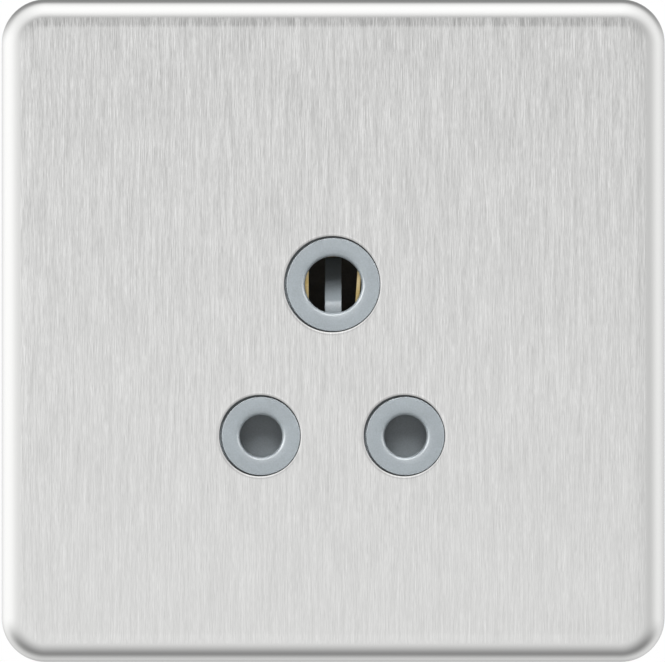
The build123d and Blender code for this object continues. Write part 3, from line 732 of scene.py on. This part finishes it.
screw = add(screw_tree, "GeometryNodeJoinGeometry")
for part in (crossed, core_place, thread):
    screw_tree.links.new(part.outputs[0], screw.inputs[0])
places = add(screw_tree, "GeometryNodeMeshToPoints", {}, {"Mesh": size["Geometry"]})
forward = {"Rotation": (-math.pi / 2, 0, 0)}
screws = add(screw_tree, "GeometryNodeInstanceOnPoints", forward, {"Points": places, "Instance": screw})
plain = add(screw_tree, "GeometryNodeRealizeInstances", {}, {"Geometry": screws})
coated = add(screw_tree, "GeometryNodeSetMaterial", {}, {"Geometry": plain, "Material": size["Material"]})
add(screw_tree, "NodeGroupOutput", {}, {"Geometry": coated})
print("screw tree:", len(screw_tree.nodes), "nodes")

# %% The screws
def grown(name, tree, points, lengths, counts, material):
    """Runs a tree on a mesh of points and keeps the result as a plain mesh."""
    mesh = bpy.data.meshes.new(name)
    mesh.from_pydata(points, [], [])
    piece = bpy.data.objects.new(name, mesh)
    bpy.context.scene.collection.objects.link(piece)
    nodes = piece.modifiers.new("grow", "NODES")
    nodes.node_group = tree
    items = tree.interface.items_tree
    sockets = {item.name: item.identifier for item in items if item.in_out == "INPUT"}
    for key, value in lengths.items():
        nodes[sockets[key]] = float(value * MM)
    for key, value in counts.items():
        nodes[sockets[key]] = value
    nodes[sockets["Material"]] = material
    applied(piece)
    piece.data.shade_smooth()
    piece.data.set_sharp_from_angle(angle=SHARP_ANGLE)
    return piece


SLOT_WIDTH, CROSS_LENGTH, SLOT_LENGTH = 0.7, 2.5, 2.1 * HEAD_R
BODY_PITCH, CLAMP_PITCH, CLAMP_R = 1.1, 0.7, 1.7
HEAD = {"Head Radius": HEAD_R, "Head Height": HEAD_HEIGHT, "Slot Width": SLOT_WIDTH}
body_length = screw_front - screw_back - HEAD_HEIGHT
body_shank = {"Shank Radius": PILOT_R, "Shank Length": body_length, "Pitch": BODY_PITCH}
body_sizes = HEAD | body_shank | {"Slot Length": CROSS_LENGTH}
corners = [at(x, up, screw_back + HEAD_HEIGHT) for x, up in SCREW_PLACES]
body_screws = grown("body_screw_set", screw_tree, corners, body_sizes, {"Slots": 2}, zinc_steel)
put(body_screws, "housing", "body_screws")
for line in ("earth", "live", "neutral"):
    node, name = f"{line}_terminal_screw", f"{line}_clamp_screw"
    clamp_x, clamp_up, (clamp_back, clamp_front) = limits(node)
    clamp_length = clamp_front - clamp_back - HEAD_HEIGHT
    shank = {"Shank Radius": CLAMP_R, "Shank Length": clamp_length, "Pitch": CLAMP_PITCH}
    clamp_sizes = HEAD | shank | {"Slot Length": SLOT_LENGTH}
    under_head = at(sum(clamp_x) / 2, sum(clamp_up) / 2, clamp_back + HEAD_HEIGHT)
    clamp_screw = grown(name, screw_tree, [under_head], clamp_sizes, {"Slots": 1}, brass)
    put(clamp_screw, "housing", node)

# %% [markdown]
# The shutter's return spring is a wire that follows a helix. Its end turns lie flat, so that it can
# stand on its seat, and only the turns between are open. A second tree bends a straight line of
# points into that path and gives it the wire's round section.

# %% The spring tree
# An end turn rises by a little more than the wire is thick. The two end turns and the wire itself
# take three such rises, and the open turns have the rest.
END_RISE, END_RISES = 2.1, 3.0
spring_tree, size = new_tree("return_spring", ("Coil Radius", "Wire Radius", "Length"), ("Turns",))
path = add(spring_tree, "GeometryNodeCurvePrimitiveLine", {"End": (0, 0, 1)})
fine = add(spring_tree, "GeometryNodeResampleCurve", {"Count": 400}, {"Curve": path})
share = add(spring_tree, "GeometryNodeSplineParameter").outputs["Factor"]
turned = add(spring_tree, "ShaderNodeMath", {"operation": "MULTIPLY"}, {0: share, 1: size["Turns"]})
angle = add(spring_tree, "ShaderNodeMath", {"operation": "MULTIPLY", 1: 2 * math.pi}, {0: turned})
cosine = add(spring_tree, "ShaderNodeMath", {"operation": "COSINE"}, {0: angle})
sine = add(spring_tree, "ShaderNodeMath", {"operation": "SINE"}, {0: angle})
coil_r = size["Coil Radius"]
coil_x = add(spring_tree, "ShaderNodeMath", {"operation": "MULTIPLY"}, {0: cosine, 1: coil_r})
coil_y = add(spring_tree, "ShaderNodeMath", {"operation": "MULTIPLY"}, {0: sine, 1: coil_r})
one_turn = add(spring_tree, "ShaderNodeMath", {"operation": "DIVIDE", 0: 1.0}, {1: size["Turns"]})
last_turn = add(spring_tree, "ShaderNodeMath", {"operation": "SUBTRACT", 0: 1.0}, {1: one_turn})
flat_turn = {"operation": "MULTIPLY", 1: END_RISE}
wire_rise = add(spring_tree, "ShaderNodeMath", flat_turn, {0: size["Wire Radius"]})
open_part = {"operation": "MULTIPLY_ADD", 1: -END_RISES}
open_rise = add(spring_tree, "ShaderNodeMath", open_part, {0: wire_rise, 2: size["Length"]})
low_span = {"Value": share, "From Max": one_turn, "To Max": wire_rise}
low_end = add(spring_tree, "ShaderNodeMapRange", {}, low_span)
open_span = {"Value": share, "From Min": one_turn, "From Max": last_turn, "To Max": open_rise}
open_turns = add(spring_tree, "ShaderNodeMapRange", {}, open_span)
high_span = {"Value": share, "From Min": last_turn, "To Max": wire_rise}
high_end = add(spring_tree, "ShaderNodeMapRange", {}, high_span)
height = size["Wire Radius"]
for stretch in (low_end, open_turns, high_end):
    height = add(spring_tree, "ShaderNodeMath", {"operation": "ADD"}, {0: height, 1: stretch})
coil_place = add(spring_tree, "ShaderNodeCombineXYZ", {}, {"X": coil_x, "Y": coil_y, "Z": height})
coil = add(spring_tree, "GeometryNodeSetPosition", {}, {"Geometry": fine, "Position": coil_place})
round_wire = {"mode": "RADIUS", "Resolution": 12}
wire_size = {"Radius": size["Wire Radius"]}
wire = add(spring_tree, "GeometryNodeCurvePrimitiveCircle", round_wire, wire_size)
along_coil = {"Curve": coil, "Profile Curve": wire}
drawn = add(spring_tree, "GeometryNodeCurveToMesh", {"Fill Caps": True}, along_coil)
seat = add(spring_tree, "GeometryNodeMeshToPoints", {}, {"Mesh": size["Geometry"]})
seated = add(spring_tree, "GeometryNodeInstanceOnPoints", {}, {"Points": seat, "Instance": drawn})
plain = add(spring_tree, "GeometryNodeRealizeInstances", {}, {"Geometry": seated})
coated = add(spring_tree, "GeometryNodeSetMaterial", {}, {"Geometry": plain, "Material": size["Material"]})
add(spring_tree, "NodeGroupOutput", {}, {"Geometry": coated})
print("spring tree:", len(spring_tree.nodes), "nodes")

# %% The spring
spring_x, spring_up, spring_out = limits("shutter_spring")
spring_seat = at(sum(spring_x) / 2, spring_up[0], sum(spring_out) / 2)
spring_length = spring_up[1] - spring_up[0]
COIL_R, WIRE_R, TURNS = 1.5, 0.2, 8
lengths = {"Coil Radius": COIL_R, "Wire Radius": WIRE_R, "Length": spring_length}
counts = {"Turns": TURNS}
return_spring = grown("return_spring", spring_tree, [spring_seat], lengths, counts, spring_steel)
put(return_spring, "housing", "shutter_spring")
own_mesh(return_spring)

# %% [markdown]
# The studio. Metal shows little of its own colour and mostly what stands round it, so the walls are
# made for its edges: each of eight directions round the view axis has its own run of brightness,
# from straight ahead (0 degrees) through the side (90) to behind (180). The ceiling and the left
# wall are bright and give the white lines along the top and left rims. Just above the camera it is
# dimmer, which shades the leaning band, and low in front it is dark, which draws the grey line along
# the bottom rim and round its corners. The camera itself sees plain white behind the socket.
# Between two walls the brightness is their mean, weighted by how far a ray turns from each.

# %% Studio walls
WALL_LEVEL = 1.5
WALL_FOCUS = 8.0
UP = ((0, 0.605), (4, 0.6), (8, 0.41), (16, 0.405), (26, 0.62), (31, 0.73), (46, 0.92), (60, 0.97),
      (80, 0.93), (98, 0.74), (116, 0.25), (140, 0.18), (180, 0.4))
UP_LEFT = ((0, 0.61), (7, 0.57), (14, 0.44), (22, 0.4), (32, 0.53), (44, 0.68), (62, 0.75), (84, 0.74),
           (96, 0.66), (112, 0.38), (134, 0.2), (180, 0.4))
LEFT = ((0, 0.61), (9, 0.64), (30, 0.7), (42, 0.77), (54, 0.85), (64, 0.94), (92, 0.98), (102, 0.97),
        (120, 0.91), (140, 0.76), (180, 0.4))
DOWN_LEFT = ((0, 0.65), (12, 0.66), (22, 0.62), (30, 0.55), (53, 0.35), (64, 0.26), (77, 0.195),
             (90, 0.28), (105, 0.49), (126, 0.64), (150, 0.52), (180, 0.4))
DOWN = ((0, 0.66), (8, 0.7), (16, 0.66), (28, 0.59), (44, 0.46), (58, 0.325), (70, 0.237), (76, 0.225),
        (82, 0.25), (96, 0.4), (112, 0.53), (122, 0.52), (134, 0.42), (180, 0.4))
DOWN_RIGHT = ((0, 0.65), (12, 0.61), (22, 0.55), (30, 0.47), (53, 0.28), (64, 0.2), (77, 0.185),
              (90, 0.33), (105, 0.53), (126, 0.66), (150, 0.52), (180, 0.4))
RIGHT = ((0, 0.61), (6, 0.59), (14, 0.54), (24, 0.5), (38, 0.5), (50, 0.58), (66, 0.72), (82, 0.8),
         (96, 0.785), (114, 0.69), (180, 0.4))
UP_RIGHT = ((0, 0.6), (6, 0.52), (10, 0.41), (30, 0.4), (44, 0.57), (56, 0.67), (68, 0.74), (84, 0.73),
            (96, 0.66), (112, 0.38), (134, 0.2), (180, 0.4))
WALLS = (RIGHT, UP_RIGHT, UP, UP_LEFT, LEFT, DOWN_LEFT, DOWN, DOWN_RIGHT)

world = bpy.data.worlds.new("studio")
bpy.context.scene.world = world
world.use_nodes = True
tree = world.node_tree
tree.nodes.clear()
ray = add(tree, "ShaderNodeTexCoord").outputs["Generated"]
ahead = add(tree, "ShaderNodeVectorMath", {"operation": "DOT_PRODUCT", 1: (0, -1, 0)}, {0: ray})
turned = add(tree, "ShaderNodeMath", {"operation": "ARCCOSINE"}, {0: ahead.outputs["Value"]})
share = add(tree, "ShaderNodeMath", {"operation": "DIVIDE", 1: math.pi}, {0: turned})
sideways = add(tree, "ShaderNodeVectorMath", {"operation": "MULTIPLY", 1: (1, 0, 1)}, {0: ray})
heading = add(tree, "ShaderNodeVectorMath", {"operation": "NORMALIZE"}, {0: sideways})
weighted, weights = [], []
for number, stops in enumerate(WALLS):
    turn = 2 * math.pi * number / len(WALLS)
    side = (math.cos(turn), 0, math.sin(turn))
    shades = [(degrees / 180, (shade, shade, shade, 1)) for degrees, shade in stops]
    wall = add(tree, "ShaderNodeValToRGB", {}, {"Fac": share}, shades)
    toward = add(tree, "ShaderNodeVectorMath", {"operation": "DOT_PRODUCT", 1: side}, {0: heading})
    on_side = add(tree, "ShaderNodeMath", {"operation": "MAXIMUM", 1: 0.0}, {0: toward.outputs["Value"]})
    weight = add(tree, "ShaderNodeMath", {"operation": "POWER", 1: WALL_FOCUS}, {0: on_side})
    weights.append(weight)
    weighted.append(add(tree, "ShaderNodeMath", {"operation": "MULTIPLY"}, {0: weight, 1: wall}))
sums = []
for terms in (weighted, weights):
    total = terms[0]
    for term in terms[1:]:
        total = add(tree, "ShaderNodeMath", {"operation": "ADD"}, {0: total, 1: term})
    sums.append(total)
level = add(tree, "ShaderNodeMath", {"operation": "DIVIDE"}, {0: sums[0], 1: sums[1]})
walls = add(tree, "ShaderNodeBackground", {"Strength": WALL_LEVEL}, {"Color": level})
white = add(tree, "ShaderNodeBackground", {"Color": (1, 1, 1, 1), "Strength": 1.0})
seen = add(tree, "ShaderNodeLightPath").outputs["Is Camera Ray"]
shown = add(tree, "ShaderNodeMixShader", {}, {0: seen, 1: walls, 2: white})
add(tree, "ShaderNodeOutputWorld", {}, {"Surface": shown})
print("studio walls:", len(WALLS))

# %% [markdown]
# Lamps. A key light from the upper left and a fill light above the camera model the collars, and
# leave the upper part of each pin hole in shade. A back fill shows the black parts behind. Three
# softboxes, above and to both sides, draw the thin bright arcs on the lips of the pin holes. They
# only show as reflections, and the other lamps never do. Light linking keeps the softboxes on the
# grey plastic, as a photographer's flags would. A lamp is its name, its turn round the view axis
# from the right, its tilt from straight ahead, its size in metres and its radiance.

# %% Lamps
LAMP_DISTANCE = 0.9
LAMPS = (
    ("key", 120, 52, (0.35, 0.35), 9.0),
    ("fill", 95, 38, (0.4, 0.4), 10.0),
    ("back_fill", 60, 140, (0.6, 0.6), 9.0),
    ("top_softbox", 90, 66, (1.0, 0.4), 12.0),
    ("left_softbox", 163, 62, (0.4, 0.7), 18.0),
    ("right_softbox", 15, 66, (0.4, 0.6), 11.0),
)
lit_plastic = bpy.data.collections.new("lit_plastic")
for piece in (front_moulding, bpy.data.objects["shutter_slide_bar"]):
    lit_plastic.objects.link(piece)
for name, turn, tilt, (width, height), radiance in LAMPS:
    lamp = bpy.data.lights.new(name, "AREA")
    lamp.shape = "RECTANGLE"
    lamp.size = width
    lamp.size_y = height
    lamp.energy = radiance * math.pi * width * height
    aside = math.sin(math.radians(tilt))
    x = aside * math.cos(math.radians(turn))
    up = aside * math.sin(math.radians(turn))
    stand = bpy.data.objects.new(name, lamp)
    stand.location = Vector((x, -math.cos(math.radians(tilt)), up)) * LAMP_DISTANCE
    stand.rotation_mode = "QUATERNION"
    stand.rotation_quaternion = (-stand.location).to_track_quat("-Z", "Y")
    softbox = name.endswith("softbox")
    stand.visible_camera = False
    stand.visible_diffuse = not softbox
    stand.visible_glossy = softbox
    if softbox:
        stand.light_linking.receiver_collection = lit_plastic
    bpy.context.scene.collection.objects.link(stand)
    print(f"{name}: {lamp.energy:.1f} W")

# %% [markdown]
# The socket hangs on a wall, so the floor is well below it and out of the picture. It is plain and
# pale, and it is kept out of reflections, so that the cover mirrors only the studio walls.

# %% Floor
FLOOR_Z, FLOOR_HALF = -0.4, 1.5
floor_signs = ((-1, -1), (1, -1), (1, 1), (-1, 1))
floor_corners = [(x * FLOOR_HALF, y * FLOOR_HALF, FLOOR_Z) for x, y in floor_signs]
floor_mesh = bpy.data.meshes.new("floor")
floor_mesh.from_pydata(floor_corners, [], [(0, 1, 2, 3)])
pale, tree = new_material("pale_floor")
matt = add(tree, "ShaderNodeBsdfPrincipled", {"Base Color": colour("#E6E6E4"), "Roughness": 0.9})
add(tree, "ShaderNodeOutputMaterial", {}, {"Surface": matt})
floor_mesh.materials.append(pale)
floor = bpy.data.objects.new("floor", floor_mesh)
floor.visible_glossy = False
bpy.context.scene.collection.objects.link(floor)
print("floor at", FLOOR_Z, "m")

# %% [markdown]
# The photograph was taken straight on with a long lens, so that the square stays square. The camera
# stands 0.9 m away, a hair to the left of the cover's middle and below it, and the cover just fills
# the frame. The lens follows from the scale of the photograph at the cover's front.

# %% Camera
IMAGE_WIDTH = 665
PIXELS_PER_MM = 7.585
DISTANCE = 0.9
CAMERA_X, CAMERA_UP = -0.09, -0.05
lens = bpy.data.cameras.new("camera")
lens.sensor_width = 36.0
lens.lens = lens.sensor_width * (DISTANCE - FRONT * MM) / (IMAGE_WIDTH / PIXELS_PER_MM * MM)
lens.clip_start = 0.01
lens.clip_end = 20
camera = bpy.data.objects.new("camera", lens)
camera.location = (CAMERA_X * MM, -DISTANCE, CAMERA_UP * MM)
camera.rotation_euler = (math.pi / 2, 0, 0)
bpy.context.scene.collection.objects.link(camera)
bpy.context.scene.camera = camera
bpy.context.scene.view_settings.view_transform = "Standard"
print(f"lens {lens.lens:.0f} mm")
